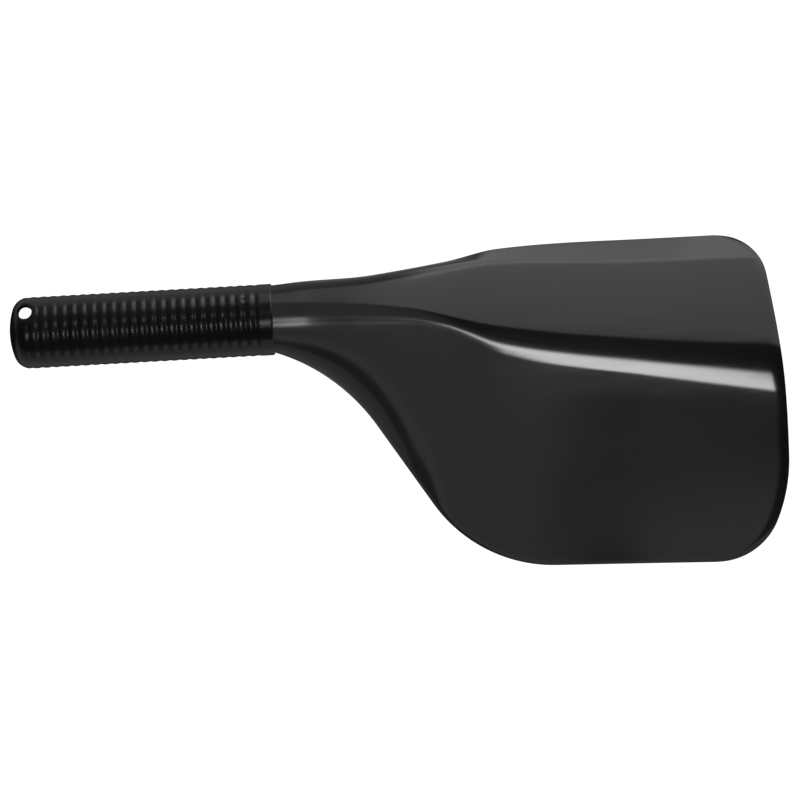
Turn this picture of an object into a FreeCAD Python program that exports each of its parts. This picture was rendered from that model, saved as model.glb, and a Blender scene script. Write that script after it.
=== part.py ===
import FreeCAD
import Part
import math
import os
import Sketcher
from FreeCAD import Placement, Rotation, Vector

# One-hand scoop paddle, in millimetres.
# +X runs along the shank towards the blade tip, +Y points to the narrow side of the blade, and +Z
# to its convex side. The origin is on the shank axis, at the middle of the grip's smooth collar.
# Every piece is drawn from the plane of the grip's mouth and then placed at grip_mouth_x.
# The paddle rests convex side up, on both blade edges and the end of the grip.

# Driving sizes: alias, value, meaning.
SIZES = [
    ("grip_mouth_x", 3.96, "plane of the grip's mouth"),
    ("sheet_thickness", 3.175, "blade sheet, 1/8 inch"),
    ("tang_radius", 15.875, "outside of the half-round tang, 1 1/4 inch across"),
    ("tang_length", 112.3, "tang from the grip's mouth to its rear end"),
    ("ridge_fall", 16.0, "degrees from the ridge line to the start of the flank"),
    ("panel_tilt", 29.5, "degrees by which the narrow panel falls away beside the ridge"),
    ("panel_end_tilt", 33.5, "degrees by which it falls away beside the bend"),
    ("side_start_y", -16.45, "wide edge at the mouth"),
    ("side_start_slope", 20.5, "degrees, wide edge at the mouth"),
    ("side_flare_radius", 96.0, "concave flare of the wide edge below the neck"),
    ("side_slope", 57.4, "degrees, straight run between flare and heel"),
    ("heel_radius", 72.0, "convex heel of the wide edge"),
    ("heel_x", 133.3, "centre of the heel"),
    ("long_edge_fall", 2.06, "degrees, wide edge from heel to tip"),
    ("narrow_edge_y", 29.6, "straight narrow edge of the blade"),
    ("trim_margin", 0.15, "how far the tip cutter stands outside the straight edges"),
    ("narrow_corner_radius", 22.5, "tip corner on the narrow side"),
    ("tip_radius", 780.0, "tip edge, narrow side"),
    ("tip_x", 245.4, "furthest point of the tip"),
    ("tip_y", -80.0, "furthest point of the tip"),
    ("wide_tip_radius", 82.0, "tip edge, wide side"),
    ("wide_corner_radius", 31.0, "tip corner on the wide side"),
    ("core_front_radius", 12.65, "front half of the core, inside the tang"),
    ("core_shoulder", 0.1, "gap between the core's shoulders and the tang's edges"),
    ("core_front_end", 0.3, "full-width core stops this far behind the mouth"),
    ("nose_radius", 12.2, "core nose under the neck of the blade"),
    ("nose_length", 16.0, "core nose beyond the mouth"),
    ("nose_round", 7.0, "rounding of the nose's end"),
    ("grip_radius", 17.35, "outside of the grip over the ribs"),
    ("grip_bore_radius", 15.925, "bore of the grip"),
    ("grip_length", 128.0, "whole grip"),
    ("grip_bore_depth", 112.5, "bore from the mouth"),
    ("crown_radius", 36.0, "domed end of the grip"),
    ("crown_corner", 8.4, "rounding between dome and side"),
    ("mouth_round", 0.9, "rounding of the grip's lip"),
    ("rib_pitch", 4.77, "distance between ribs, about 3/16 inch"),
    ("groove_first", 8.22, "first groove behind the mouth"),
    ("groove_count", 24, "grooves between ribs"),
    ("groove_width", 2.4, "one groove"),
    ("groove_depth", 0.3, "one groove"),
    ("hole_radius", 3.5, "hanging hole"),
    ("hole_x", -120.1, "hanging hole, on the shank's middle plane"),
    ("hole_y", 9.6, "hanging hole, on the shank's middle plane"),
    ("hole_lean_forward", 2.1, "degrees, hole leans towards the blade as it rises"),
    ("hole_lean_sideways", 2.4, "degrees, hole leans towards the narrow side as it rises"),
    ("screw_front", 30.0, "front screw behind the mouth"),
    ("screw_rear", 90.0, "rear screw behind the mouth"),
    ("screw_head_top", 15.3, "height of the screw heads above the axis"),
    ("screw_head_radius", 4.0, "countersunk head"),
    ("screw_head_depth", 2.0, "countersunk head, 90 degrees"),
    ("screw_radius", 2.0, "screw shank"),
    ("screw_length", 19.0, "whole screw"),
    ("screw_point", 3.0, "tapered point"),
    ("screw_fit", 0.02, "clearance round head and shank"),
    ("screw_hole_radius", 2.1, "clearance hole in the tang"),
    ("pilot_spare", 1.0, "pilot hole beyond the screw's point"),
    ("recess_width", 0.9, "arm of the cross recess"),
    ("recess_span", 4.4, "length of the cross recess"),
    ("recess_depth", 1.6, "depth of the cross recess"),
]

# Cross-sections of the blade from the mouth to beyond the tip. A section runs from the narrow
# edge over lip, bend, panel and ridge and down the flank to the wide edge.
SECTION_FIELDS = ("x", "ridge_y", "ridge_z", "ridge_radius", "bend_y", "bend_radius",
                  "lip_tilt", "lip_run", "flank_tilt")
SECTIONS = {
    "mouth":    (0.0,     0.0, 16.3, 16.3,  9.5,  15.8, 90.0,  0.5, 90.0),
    "nape":     (15.0,  -0.35, 16.35, 16.0, 10.6, 15.8, 90.0,  0.5, 80.0),
    "neck":     (40.0,   -1.5, 17.6, 14.4, 11.5,  15.0, 90.0,  0.5, 56.0),
    "throat":   (65.0,   -3.6, 19.1, 11.5, 14.5, 14.0, 90.0,  0.5, 31.2),
    "waist":    (82.0,   -7.5, 20.1, 10.8, 16.9,  13.5, 82.0,  2.4, 23.3),
    "shoulder": (110.0, -18.9, 21.2, 19.6, 19.8,  13.0, 53.0,  9.2, 22.4),
    "middle":   (180.0, -31.5, 23.1, 24.8, 17.2,  13.0, 47.0, 14.9, 27.4),
    "toe":      (250.0, -42.3, 26.6, 33.5, 16.4,  13.0, 39.0, 15.4, 31.5),
}
LOFT_STEP = 12.0
LOFT_COUNT = 22

# The tip cutter starts this far behind the mouth.
BEHIND_MOUTH = 8.0

doc = FreeCAD.newDocument("scoop_paddle")
sizes = doc.addObject("Spreadsheet::Sheet", "sizes")


# ---- Sizes -------------------------------------------------------------------------------

def fill_sheet():
    rows = list(SIZES)
    for station, values in SECTIONS.items():
        for field, value in zip(SECTION_FIELDS, values):
            rows.append((f"{station}_{field}", value, f"blade section, {station}"))
    for number, (alias, value, meaning) in enumerate(rows, start=1):
        sizes.set(f"A{number}", alias)
        sizes.set(f"B{number}", str(value))
        sizes.set(f"C{number}", meaning)
        sizes.setAlias(f"B{number}", alias)
    doc.recompute()


def size(alias):
    return float(sizes.get(alias))


# ---- Sketch and feature helpers ----------------------------------------------------------

def origin_feature(body, role):
    for feature in body.Origin.OriginFeatures:
        if feature.Role == role:
            return feature
    raise ValueError(f"no {role} in {body.Name}")


def new_body(label):
    body = doc.addObject("PartDesign::Body", label)
    body.Label = label
    body.setExpression("Placement.Base.x", "sizes.grip_mouth_x")
    return body


def new_sketch(body, name, plane):
    sketch = body.newObject("Sketcher::SketchObject", name)
    sketch.AttachmentSupport = [(origin_feature(body, plane), "")]
    sketch.MapMode = "FlatFace"
    return sketch


def bound(alias):
    """Formula of a size in the sheet, with its present value."""
    return f"sizes.{alias}", size(alias)


def dimension(sketch, name, driver, kind, *where):
    """Add a driving dimension that follows a formula of the sheet's sizes."""
    formula, value = driver
    index = sketch.addConstraint(Sketcher.Constraint(kind, *where, value))
    sketch.renameConstraint(index, name)
    sketch.setExpression(f"Constraints.{name}", formula)


def constrain(sketch, kind, *where):
    sketch.addConstraint(Sketcher.Constraint(kind, *where))


def circular_edges(shape, x, radius):
    names = []
    for number, edge in enumerate(shape.Edges, start=1):
        if edge.Degenerated or not isinstance(edge.Curve, Part.Circle):
            continue
        if abs(edge.Curve.Center.x - x) < 0.01 and abs(edge.Curve.Radius - radius) < 0.01:
            names.append(f"Edge{number}")
    return names


def add_fillet(body, base, name, edges, radius_formula):
    fillet = body.newObject("PartDesign::Fillet", name)
    fillet.Base = (base, edges)
    fillet.setExpression("Radius", radius_formula)
    doc.recompute()
    return fillet


def add_pad(body, name, sketch, length_formula, backwards=False):
    pad = body.newObject("PartDesign::Pad", name)
    pad.Profile = sketch
    pad.setExpression("Length", length_formula)
    pad.Reversed = backwards
    doc.recompute()
    return pad


def must_remove(before, after, name):
    if after.Shape.Volume > before.Shape.Volume - 0.1:
        raise ValueError(f"{name} removes nothing")


# ---- Blade -------------------------------------------------------------------------------

def smooth_value(knots, values, x):
    """Monotone cubic through the stations' values."""
    count = len(knots)
    steps = [knots[i + 1] - knots[i] for i in range(count - 1)]
    slopes = [(values[i + 1] - values[i]) / steps[i] for i in range(count - 1)]
    tangents = [slopes[0]] + [0.0] * (count - 2) + [slopes[-1]]
    for i in range(1, count - 1):
        if slopes[i - 1] * slopes[i] > 0:
            before = 2 * steps[i] + steps[i - 1]
            after = steps[i] + 2 * steps[i - 1]
            tangents[i] = (before + after) / (before / slopes[i - 1] + after / slopes[i])
    i = 0
    while i < count - 2 and x > knots[i + 1]:
        i += 1
    t = (x - knots[i]) / steps[i]
    start = (1 + 2 * t) * (1 - t) ** 2 * values[i] + t * (1 - t) ** 2 * steps[i] * tangents[i]
    end = t * t * (3 - 2 * t) * values[i + 1] + t * t * (t - 1) * steps[i] * tangents[i + 1]
    return start + end


def section_value(field, x):
    knots = [size(f"{station}_x") for station in SECTIONS]
    values = [size(f"{station}_{field}") for station in SECTIONS]
    return smooth_value(knots, values, x)


def wide_edge_y(x):
    """Wide edge in plan: concave flare, straight run, convex heel, long straight."""
    start, slope = math.radians(size("side_start_slope")), math.radians(size("side_slope"))
    flare, heel = size("side_flare_radius"), size("heel_radius")
    flare_x = -flare * math.sin(start)
    flare_y = size("side_start_y") - flare * math.cos(start)
    run_x = flare_x + flare * math.sin(slope)
    run_y = flare_y + flare * math.cos(slope)
    heel_start_x = size("heel_x") - heel * math.sin(slope)
    heel_y = run_y - (heel_start_x - run_x) * math.tan(slope) + heel * math.cos(slope)
    fall = math.radians(size("long_edge_fall"))
    heel_end_x = size("heel_x") - heel * math.sin(fall)
    if x <= run_x:
        return flare_y + math.sqrt(flare ** 2 - (x - flare_x) ** 2)
    if x <= heel_start_x:
        return run_y - (x - run_x) * math.tan(slope)
    if x <= heel_end_x:
        return heel_y - math.sqrt(heel ** 2 - (x - size("heel_x")) ** 2)
    return heel_y - heel * math.cos(fall) - (x - heel_end_x) * math.tan(fall)


def normal(angle):
    """Outward direction in a section, tilted from +Z towards +Y."""
    return Vector(0, math.sin(angle), math.cos(angle))


def skin_edges(x, depth):
    """Edges of one skin of the sheet, from narrow edge to wide edge, depth below the outside."""
    value = {field: section_value(field, x) for field in SECTION_FIELDS[1:]}
    panel, fall = math.radians(size("panel_tilt")), math.radians(size("ridge_fall"))
    panel_end_tilt = math.radians(size("panel_end_tilt"))
    lip, flank = math.radians(value["lip_tilt"]), math.radians(value["flank_tilt"])
    ridge_centre = Vector(x, value["ridge_y"], value["ridge_z"] - value["ridge_radius"])
    panel_start = ridge_centre + normal(panel) * value["ridge_radius"]
    panel_width = value["bend_y"] - panel_start.y
    panel_radius = panel_width / (math.sin(panel_end_tilt) - math.sin(panel))
    panel_centre = panel_start - normal(panel) * panel_radius
    panel_end = panel_centre + normal(panel_end_tilt) * panel_radius
    bend_centre = panel_end - normal(panel_end_tilt) * value["bend_radius"]
    flank_start = ridge_centre + normal(-fall) * value["ridge_radius"]
    flank_radius = (flank_start.y - wide_edge_y(x)) / (math.sin(flank) - math.sin(fall))
    flank_centre = flank_start - normal(-fall) * flank_radius
    lip_start = bend_centre + normal(lip) * (value["bend_radius"] - depth)
    lip_end = lip_start + normal(lip + math.pi / 2) * value["lip_run"]
    lip_line = Part.LineSegment(lip_end, lip_start).toShape()
    arcs = [(bend_centre, value["bend_radius"] - depth, lip, panel_end_tilt),
            (panel_centre, panel_radius - depth, panel_end_tilt, panel),
            (ridge_centre, value["ridge_radius"] - depth, panel, -fall),
            (flank_centre, flank_radius - depth, -fall, -flank)]
    wide_end = flank_centre + normal(-flank) * (flank_radius - depth)
    return [lip_line] + [arc_edge(*arc) for arc in arcs], lip_end, wide_end


def arc_edge(centre, radius, start, end):
    angles = (start, (start + end) / 2, end)
    return Part.Arc(*[centre + normal(angle) * radius for angle in angles]).toShape()


def section_wire(x):
    outer, outer_narrow, outer_wide = skin_edges(x, 0.0)
    inner, inner_narrow, inner_wide = skin_edges(x, size("sheet_thickness"))
    wide_rim = Part.LineSegment(outer_wide, inner_wide).toShape()
    narrow_rim = Part.LineSegment(inner_narrow, outer_narrow).toShape()
    return Part.Wire(outer + [wide_rim] + inner[::-1] + [narrow_rim])


def make_scoop():
    """Formed sheet from the mouth to beyond the tip."""
    scoop = doc.addObject("Part::Feature", "scoop_sheet")
    wires = [section_wire(LOFT_STEP * number) for number in range(LOFT_COUNT)]
    scoop.Shape = Part.makeLoft(wires, True, False)
    return scoop


def make_tang():
    """Half-round tang that the same sheet forms inside the grip."""
    lying = Rotation(Vector(0, 1, 0), -90) * Rotation(Vector(0, 0, 1), -90)
    shells = []
    for name, formula in (("tang_outside", "sizes.tang_radius"),
                          ("tang_hollow", "sizes.tang_radius - sizes.sheet_thickness")):
        shell = doc.addObject("Part::Cylinder", name)
        shell.setExpression("Radius", formula)
        shell.setExpression("Height", "sizes.tang_length")
        shell.Angle = 180
        shell.Placement = Placement(Vector(0, 0, 0), lying)
        shells.append(shell)
    tang = doc.addObject("Part::Cut", "tang_half_ring")
    tang.Base, tang.Tool = shells
    return tang


def clockwise_arc(centre, radius, start, end):
    """Arc drawn clockwise between two directions in degrees."""
    circle = Part.Circle(centre, Vector(0, 0, 1), radius)
    return Part.ArcOfCircle(circle, math.radians(end), math.radians(start))


def draw_tip_outline():
    """Plan outline that trims the tip and its corners; its long sides clear the blade.

    The curves start near their places and the constraints settle them.
    """
    sketch = doc.addObject("Sketcher::SketchObject", "tip_outline")
    top, back_x = size("narrow_edge_y") + size("trim_margin"), -BEHIND_MOUTH
    tip = Vector(size("tip_x"), size("tip_y"), 0)
    fall = math.radians(size("long_edge_fall"))
    long_edge_y = wide_edge_y(tip.x) + (tip.x - back_x) * math.tan(fall) - size("trim_margin")
    tip_radius, wide_radius = size("tip_radius"), size("wide_tip_radius")
    corner, wide_corner = size("narrow_corner_radius"), size("wide_corner_radius")
    corner_centre = Vector(tip.x - corner - 6, top - corner, 0)
    wide_centre = Vector(tip.x - wide_corner - 4, wide_edge_y(tip.x) + wide_corner, 0)
    curves = [
        Part.LineSegment(Vector(back_x, top, 0), corner_centre + Vector(0, corner, 0)),
        clockwise_arc(corner_centre, corner, 90, 9),
        clockwise_arc(tip - Vector(tip_radius, 0, 0), tip_radius, 9, 0),
        clockwise_arc(tip - Vector(wide_radius, 0, 0), wide_radius, 0, -19),
        clockwise_arc(wide_centre, wide_corner, -19, -92),
        Part.LineSegment(wide_centre - Vector(0, wide_corner, 0), Vector(back_x, long_edge_y, 0)),
        Part.LineSegment(Vector(back_x, long_edge_y, 0), Vector(back_x, top, 0)),
    ]
    sketch.addGeometry(curves)
    side, narrow, tip_arc, wide_tip, wide, long_side, back = range(len(curves))
    for first, first_end, second, second_end in ((side, 2, narrow, 2), (narrow, 1, tip_arc, 2),
                                                 (tip_arc, 1, wide_tip, 2), (wide_tip, 1, wide, 2),
                                                 (wide, 1, long_side, 1)):
        constrain(sketch, "Tangent", first, first_end, second, second_end)
    constrain(sketch, "Coincident", long_side, 2, back, 1)
    constrain(sketch, "Coincident", back, 2, side, 1)
    constrain(sketch, "Horizontal", side)
    constrain(sketch, "Vertical", back)
    constrain(sketch, "Horizontal", tip_arc, 3, tip_arc, 1)
    constrain(sketch, "DistanceX", -1, 1, back, 2, back_x)
    constrain(sketch, "DistanceY", -1, 1, long_side, 2, long_edge_y)
    dimension(sketch, "side_y", ("sizes.narrow_edge_y + sizes.trim_margin", top),
              "DistanceY", -1, 1, side, 1)
    dimension(sketch, "tip_far_x", bound("tip_x"), "DistanceX", -1, 1, tip_arc, 1)
    dimension(sketch, "tip_far_y", bound("tip_y"), "DistanceY", -1, 1, tip_arc, 1)
    dimension(sketch, "fall", ("sizes.long_edge_fall * 1 deg", fall), "Angle", long_side, 2, -1, 1)
    for name, curve in (("narrow_corner_radius", narrow), ("tip_radius", tip_arc),
                        ("wide_tip_radius", wide_tip), ("wide_corner_radius", wide)):
        dimension(sketch, name, bound(name), "Radius", curve)
    doc.recompute()
    return sketch


def make_screw_holes():
    """Clearance holes and countersinks through the tang, one pair per screw."""
    cutters = []
    for place in ("front", "rear"):
        hole = doc.addObject("Part::Cylinder", f"{place}_clearance")
        hole.setExpression("Radius", "sizes.screw_hole_radius")
        hole.setExpression("Height", "sizes.tang_radius")
        sink = doc.addObject("Part::Cone", f"{place}_countersink")
        sink.setExpression("Radius1", "sizes.screw_head_radius - sizes.screw_head_depth + sizes.screw_fit")
        sink.setExpression("Radius2", "sizes.screw_head_radius + sizes.screw_head_depth + sizes.screw_fit")
        sink.setExpression("Height", "2 * sizes.screw_head_depth")
        sink.setExpression("Placement.Base.z", "sizes.screw_head_top - sizes.screw_head_depth")
        for cutter in (hole, sink):
            cutter.setExpression("Placement.Base.x", f"-sizes.screw_{place}")
            cutters.append(cutter)
    holes = doc.addObject("Part::MultiFuse", "screw_holes")
    holes.Shapes = cutters
    return holes


def make_blade():
    prism = doc.addObject("Part::Extrusion", "tip_prism")
    prism.Base = draw_tip_outline()
    prism.Dir = Vector(0, 0, 1)
    prism.Solid = True
    prism.Symmetric = True
    prism.setExpression("LengthFwd", "4 * sizes.narrow_edge_y")
    trimmed = doc.addObject("Part::Common", "trimmed_scoop")
    trimmed.Base, trimmed.Tool = make_scoop(), prism
    sheet = doc.addObject("Part::MultiFuse", "scoop_with_tang")
    sheet.Shapes = [trimmed, make_tang()]
    blade = doc.addObject("Part::Cut", "blade")
    blade.Base, blade.Tool = sheet, make_screw_holes()
    blade.Label = "blade"
    blade.setExpression("Placement.Base.x", "sizes.grip_mouth_x")
    doc.recompute()
    return blade


# ---- Core --------------------------------------------------------------------------------

def make_core():
    """Filler that completes the half-round tang, rebated for it, with a nose under the neck."""
    body = new_body("handle_core")
    length = "sizes.tang_length - sizes.core_front_end"
    full = core_sketch(body, "front_half_section")
    add_circle(full, "core_front_radius")
    add_pad(body, "front_half", full, length, backwards=True)
    back = core_sketch(body, "back_half_section")
    radius, drop = size("tang_radius"), size("core_shoulder")
    turn = math.asin(drop / radius)
    circle = Part.Circle(Vector(0, 0, 0), Vector(0, 0, 1), radius)
    arc = Part.ArcOfCircle(circle, math.pi + turn, 2 * math.pi - turn)
    shoulder = Part.LineSegment(arc.EndPoint, arc.StartPoint)
    back.addGeometry([arc, shoulder])
    constrain(back, "Coincident", 0, 2, 1, 1)
    constrain(back, "Coincident", 1, 2, 0, 1)
    constrain(back, "Coincident", 0, 3, -1, 1)
    constrain(back, "Horizontal", 1)
    dimension(back, "radius", bound("tang_radius"), "Radius", 0)
    dimension(back, "drop", bound("core_shoulder"), "DistanceY", 1, 1, -1, 1)
    add_pad(body, "back_half", back, length, backwards=True)
    nose = core_sketch(body, "nose_section")
    add_circle(nose, "nose_radius")
    tip = add_pad(body, "nose", nose, "sizes.nose_length + sizes.core_front_end")
    edges = circular_edges(tip.Shape, size("nose_length"), size("nose_radius"))
    rounded = add_fillet(body, tip, "nose_rounding", edges, "sizes.nose_round")
    add_pilot_holes(body, rounded)
    return body


def core_sketch(body, name):
    """Sketch across the shank, where the full width of the core ends."""
    sketch = new_sketch(body, name, "YZ_Plane")
    sketch.setExpression("AttachmentOffset.Base.z", "-sizes.core_front_end")
    return sketch


def add_circle(sketch, alias):
    """Circle about the sketch's origin with a bound radius."""
    index = sketch.addGeometry(Part.Circle(Vector(0, 0, 0), Vector(0, 0, 1), size(alias)))
    constrain(sketch, "Coincident", index, 3, -1, 1)
    dimension(sketch, "radius", bound(alias), "Radius", index)


def add_pilot_holes(body, base):
    """Blind holes for the screws, from the top face of the front half."""
    sketch = new_sketch(body, "pilot_hole_circles", "XY_Plane")
    for place in ("front", "rear"):
        radius = size("screw_radius") + size("screw_fit")
        centre = Vector(-size(f"screw_{place}"), 0, 0)
        index = sketch.addGeometry(Part.Circle(centre, Vector(0, 0, 1), radius))
        constrain(sketch, "PointOnObject", index, 3, -1)
        dimension(sketch, f"{place}_x", bound(f"screw_{place}"), "DistanceX", index, 3, -1, 1)
        dimension(sketch, f"{place}_radius", ("sizes.screw_radius + sizes.screw_fit", radius),
                  "Radius", index)
    pocket = body.newObject("PartDesign::Pocket", "pilot_holes")
    pocket.Profile = sketch
    pocket.SideType = "Two sides"
    pocket.Type = "Length"
    pocket.Type2 = "Length"
    pocket.setExpression("Length", "sizes.screw_length - sizes.screw_head_top + sizes.pilot_spare")
    pocket.setExpression("Length2", "sizes.tang_radius")
    doc.recompute()
    must_remove(base, pocket, "pilot_holes")


# ---- Screws ------------------------------------------------------------------------------

def make_screw(place):
    """Countersunk self-tapping screw, head up, drawn from the top of its head."""
    body = new_body(f"tang_screw_{place}")
    profile = new_sketch(body, f"{place}_screw_profile", "XZ_Plane")
    head, depth = size("screw_head_radius"), size("screw_head_depth")
    shank, length, point = size("screw_radius"), size("screw_length"), size("screw_point")
    corners = [Vector(0, 0, 0), Vector(head, 0, 0), Vector(shank, -depth, 0),
               Vector(shank, point - length, 0), Vector(0, -length, 0)]
    closed = corners + corners[:1]
    lines = [Part.LineSegment(start, end) for start, end in zip(closed, closed[1:])]
    profile.addGeometry(lines)
    for index in range(len(lines)):
        constrain(profile, "Coincident", index, 2, (index + 1) % len(lines), 1)
    constrain(profile, "Coincident", 0, 1, -1, 1)
    constrain(profile, "Horizontal", 0)
    constrain(profile, "Vertical", 2)
    constrain(profile, "Vertical", 4)
    dimension(profile, "head_radius", bound("screw_head_radius"), "DistanceX", 0, 1, 0, 2)
    dimension(profile, "head_depth", bound("screw_head_depth"), "DistanceY", 1, 2, 1, 1)
    dimension(profile, "shank_radius", bound("screw_radius"), "DistanceX", -1, 1, 2, 1)
    dimension(profile, "length", bound("screw_length"), "DistanceY", 3, 2, -1, 1)
    dimension(profile, "point", bound("screw_point"), "DistanceY", 3, 2, 3, 1)
    turned = body.newObject("PartDesign::Revolution", f"{place}_screw_blank")
    turned.Profile = profile
    turned.ReferenceAxis = (profile, ["V_Axis"])
    turned.Angle = 360
    doc.recompute()
    add_recess(body, place, turned)
    body.setExpression("Placement.Base.x", f"sizes.grip_mouth_x - sizes.screw_{place}")
    body.setExpression("Placement.Base.z", "sizes.screw_head_top")
    return body


def add_recess(body, place, base):
    """Cross recess: two crossing slots."""
    for number, (across, along) in enumerate((("recess_width", "recess_span"),
                                              ("recess_span", "recess_width"))):
        sketch = new_sketch(body, f"{place}_recess_slot_{number}", "XY_Plane")
        centred_rectangle(sketch, across, along)
        pocket = body.newObject("PartDesign::Pocket", f"{place}_recess_{number}")
        pocket.Profile = sketch
        pocket.Type = "Length"
        pocket.setExpression("Length", "sizes.recess_depth")
        doc.recompute()
        must_remove(base, pocket, pocket.Name)
        base = pocket


def centred_rectangle(sketch, width_alias, height_alias):
    half_width, half_height = size(width_alias) / 2, size(height_alias) / 2
    corners = [Vector(x * half_width, y * half_height, 0)
               for x, y in ((-1, -1), (1, -1), (1, 1), (-1, 1))]
    closed = corners + corners[:1]
    sketch.addGeometry([Part.LineSegment(start, end) for start, end in zip(closed, closed[1:])])
    for index in range(4):
        constrain(sketch, "Coincident", index, 2, (index + 1) % 4, 1)
    for index, kind in enumerate(("Horizontal", "Vertical", "Horizontal", "Vertical")):
        constrain(sketch, kind, index)
    constrain(sketch, "Symmetric", 0, 1, 2, 1, -1, 1)
    dimension(sketch, "width", bound(width_alias), "DistanceX", 0, 1, 0, 2)
    dimension(sketch, "height", bound(height_alias), "DistanceY", 1, 1, 1, 2)


# ---- Grip --------------------------------------------------------------------------------

def make_grip():
    """Ribbed sleeve with a closed, domed end and a hanging hole through it."""
    body = new_body("grip")
    turned = turn_grip_blank(body)
    edges = circular_edges(turned.Shape, 0, size("grip_radius"))
    lip = add_fillet(body, turned, "mouth_rounding", edges, "sizes.mouth_round")
    grooves = cut_grooves(body, lip)
    cut_hanging_hole(body, grooves)
    return body


def turn_grip_blank(body):
    profile = new_sketch(body, "grip_profile", "XZ_Plane")
    crown, corner = size("crown_radius"), size("crown_corner")
    outside, bore, depth = size("grip_radius"), size("grip_bore_radius"), size("grip_bore_depth")
    centre = Vector(crown - size("grip_length"), 0, 0)
    turn = math.asin((outside - corner) / (crown - corner))
    towards_corner = Vector(-math.cos(turn), math.sin(turn), 0)
    corner_centre = centre + towards_corner * (crown - corner)
    side_end = corner_centre + Vector(0, corner, 0)
    corners = [centre - Vector(crown, 0, 0), Vector(-depth, 0, 0), Vector(-depth, bore, 0),
               Vector(0, bore, 0), Vector(0, outside, 0), side_end]
    curves = [Part.LineSegment(start, end) for start, end in zip(corners, corners[1:])]
    for arc_centre, radius, start, end in ((corner_centre, corner, math.pi / 2, math.pi - turn),
                                           (centre, crown, math.pi - turn, math.pi)):
        circle = Part.Circle(arc_centre, Vector(0, 0, 1), radius)
        curves.append(Part.ArcOfCircle(circle, start, end))
    profile.addGeometry(curves)
    axis, bore_end, bore_wall, mouth, side, corner_arc, crown_arc = range(len(curves))
    for first, second in zip(range(4), range(1, 5)):
        constrain(profile, "Coincident", first, 2, second, 1)
    constrain(profile, "Tangent", side, 2, corner_arc, 1)
    constrain(profile, "Tangent", corner_arc, 2, crown_arc, 1)
    constrain(profile, "Coincident", crown_arc, 2, axis, 1)
    for line in (axis, bore_wall, side):
        constrain(profile, "Horizontal", line)
    for line in (bore_end, mouth):
        constrain(profile, "Vertical", line)
    constrain(profile, "PointOnObject", axis, 1, -1)
    constrain(profile, "PointOnObject", crown_arc, 3, -1)
    constrain(profile, "PointOnObject", mouth, 1, -2)
    dimension(profile, "crown", bound("crown_radius"), "Radius", crown_arc)
    dimension(profile, "corner", bound("crown_corner"), "Radius", corner_arc)
    dimension(profile, "length", bound("grip_length"), "DistanceX", axis, 1, -1, 1)
    dimension(profile, "depth", bound("grip_bore_depth"), "DistanceX", axis, 2, -1, 1)
    dimension(profile, "bore", bound("grip_bore_radius"), "DistanceY", -1, 1, mouth, 1)
    dimension(profile, "outside", bound("grip_radius"), "DistanceY", -1, 1, mouth, 2)
    turned = body.newObject("PartDesign::Revolution", "grip_blank")
    turned.Profile = profile
    turned.ReferenceAxis = (profile, ["H_Axis"])
    turned.Angle = 360
    doc.recompute()
    return turned


def cut_grooves(body, base):
    """Shallow round-bottomed grooves that leave the ribs standing."""
    sketch = new_sketch(body, "groove_section", "XZ_Plane")
    half, depth = size("groove_width") / 2, size("groove_depth")
    radius = (half ** 2 + depth ** 2) / (2 * depth)
    centre = Vector(-size("groove_first"), size("grip_radius") + radius - depth, 0)
    sketch.addGeometry(Part.Circle(centre, Vector(0, 0, 1), radius))
    formula = "((sizes.groove_width / 2)^2 + sizes.groove_depth^2) / (2 * sizes.groove_depth)"
    dimension(sketch, "radius", (formula, radius), "Radius", 0)
    dimension(sketch, "place", bound("groove_first"), "DistanceX", 0, 3, -1, 1)
    height = (f"sizes.grip_radius - sizes.groove_depth + {formula}", centre.y)
    dimension(sketch, "height", height, "DistanceY", -1, 1, 0, 3)
    groove = body.newObject("PartDesign::Groove", "first_groove")
    groove.Profile = sketch
    groove.ReferenceAxis = (sketch, ["H_Axis"])
    groove.Angle = 360
    doc.recompute()
    must_remove(base, groove, "first_groove")
    row = body.newObject("PartDesign::LinearPattern", "groove_row")
    row.Originals = [groove]
    row.Direction = (sketch, ["H_Axis"])
    row.Reversed = True
    row.setExpression("Length", "sizes.rib_pitch * (sizes.groove_count - 1)")
    row.setExpression("Occurrences", "sizes.groove_count")
    body.Tip = row
    doc.recompute()
    must_remove(groove, row, "groove_row")
    return row


def cut_hanging_hole(body, base):
    sketch = new_sketch(body, "hanging_hole_circle", "XY_Plane")
    lean = Rotation(Vector(0, 1, 0), size("hole_lean_forward"))
    lean = lean * Rotation(Vector(1, 0, 0), -size("hole_lean_sideways"))
    sketch.AttachmentOffset = Placement(Vector(size("hole_x"), size("hole_y"), 0), lean)
    add_circle(sketch, "hole_radius")
    hole = body.newObject("PartDesign::Pocket", "hanging_hole")
    hole.Profile = sketch
    hole.SideType = "Symmetric"
    hole.Type = "Length"
    hole.setExpression("Length", "3 * sizes.grip_radius")
    doc.recompute()
    must_remove(base, hole, "hanging_hole")


# ---- Document ----------------------------------------------------------------------------

def check_document():
    for item in doc.Objects:
        if "Invalid" in item.State or "Error" in item.State:
            raise ValueError(f"{item.Name} failed: {item.State}")


def export_pieces(pieces):
    os.makedirs("parts", exist_ok=True)
    for piece in pieces:
        shape = piece.Shape
        if shape.isNull() or not shape.isValid() or len(shape.Solids) != 1:
            raise ValueError(f"{piece.Label} is not one valid solid")
    for piece in pieces:
        piece.Shape.exportStep(os.path.join("parts", f"{piece.Label}.step"))
        box = piece.Shape.BoundBox
        print(f"{piece.Label}: {piece.Shape.Volume:.0f} mm3, "
              f"x {box.XMin:.2f} to {box.XMax:.2f}, y {box.YMin:.2f} to {box.YMax:.2f}, "
              f"z {box.ZMin:.2f} to {box.ZMax:.2f}")


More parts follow.
